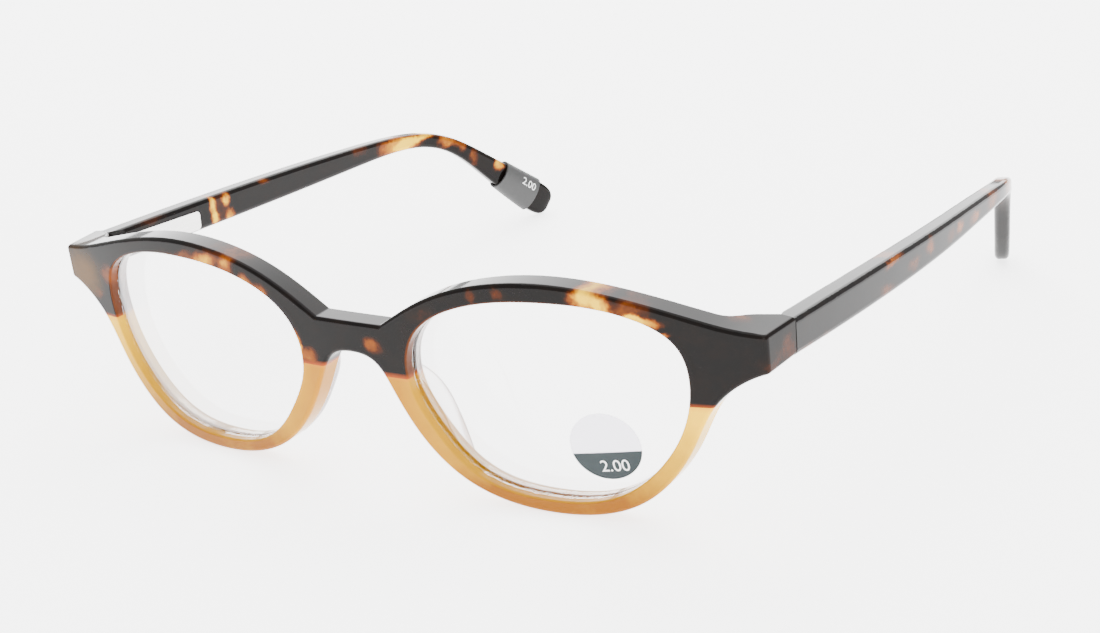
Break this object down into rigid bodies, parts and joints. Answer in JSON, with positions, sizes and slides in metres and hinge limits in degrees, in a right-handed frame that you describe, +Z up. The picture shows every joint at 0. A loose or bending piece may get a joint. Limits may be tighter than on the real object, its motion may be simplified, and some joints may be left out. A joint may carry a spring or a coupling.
{
  "type": "folding_reading_glasses",
  "caption": "Folding reading glasses with a bowed tortoiseshell front, honey lower rims, clear nose pads and lenses, and spring-hinged temples.",
  "frame": {"origin": "under the middle of the whole box, at the level of the rims' and tips' lowest points", "axes": "+Z up; -Y the way the wearer faces; +X the wearer's left"},
  "size_m": [0.1352, 0.1348, 0.0362],
  "materials": {
    "tortoise": "polished",
    "honey": "polished",
    "lens": "polished",
    "pad": "polished",
    "sticker": "satin",
    "hinge_metal": "satin",
    "spring_wire": "satin",
    "core_metal": "satin",
    "sleeve": "satin"
  },
  "bodies": {
    "front": {"front_upper": "tortoise", "right_lower_rim": "honey", "left_lower_rim": "honey", "left_lens": "lens", "right_lens": "lens", "lens_power_sticker": "sticker", "left_nose_pad": "pad", "right_nose_pad": "pad", "left_front_hinge": "hinge_metal", "right_front_hinge": "hinge_metal", "left_hinge_screw": "hinge_metal", "right_hinge_screw": "hinge_metal"},
    "left_slider": {"left_hinge_plunger": "hinge_metal", "left_plunger_nut": "hinge_metal"},
    "left_arm": {"left_temple": "tortoise", "left_core_wire": "core_metal", "left_hinge_housing": "hinge_metal", "left_hinge_spring": "spring_wire"},
    "right_slider": {"right_hinge_plunger": "hinge_metal", "right_plunger_nut": "hinge_metal"},
    "right_arm": {"right_temple": "tortoise", "right_core_wire": "core_metal", "right_hinge_housing": "hinge_metal", "right_hinge_spring": "spring_wire", "strength_sleeve": "sleeve"}
  },
  "joints": [
    {"name": "left_temple_fold", "type": "hinge", "parent": "front", "child": "left_slider", "pos_m": [0.0622, -0.0522, 0.02715], "axis": [0, 0.0506, 0.9987], "range_deg": [0, 86.5]},
    {"name": "left_spring_travel", "type": "slide", "parent": "left_slider", "child": "left_arm", "axis": [0, 0.9987, -0.0506], "range_m": [0, 0.0012], "stiffness_N_per_m": 1500, "springref_m": -0.001},
    {"name": "right_temple_fold", "type": "hinge", "parent": "front", "child": "right_slider", "pos_m": [-0.0622, -0.0522, 0.02715], "axis": [0, -0.0506, -0.9987], "range_deg": [0, 78]},
    {"name": "right_spring_travel", "type": "slide", "parent": "right_slider", "child": "right_arm", "axis": [0, 0.9987, -0.0506], "range_m": [0, 0.0012], "stiffness_N_per_m": 1500, "springref_m": -0.001}
  ]
}
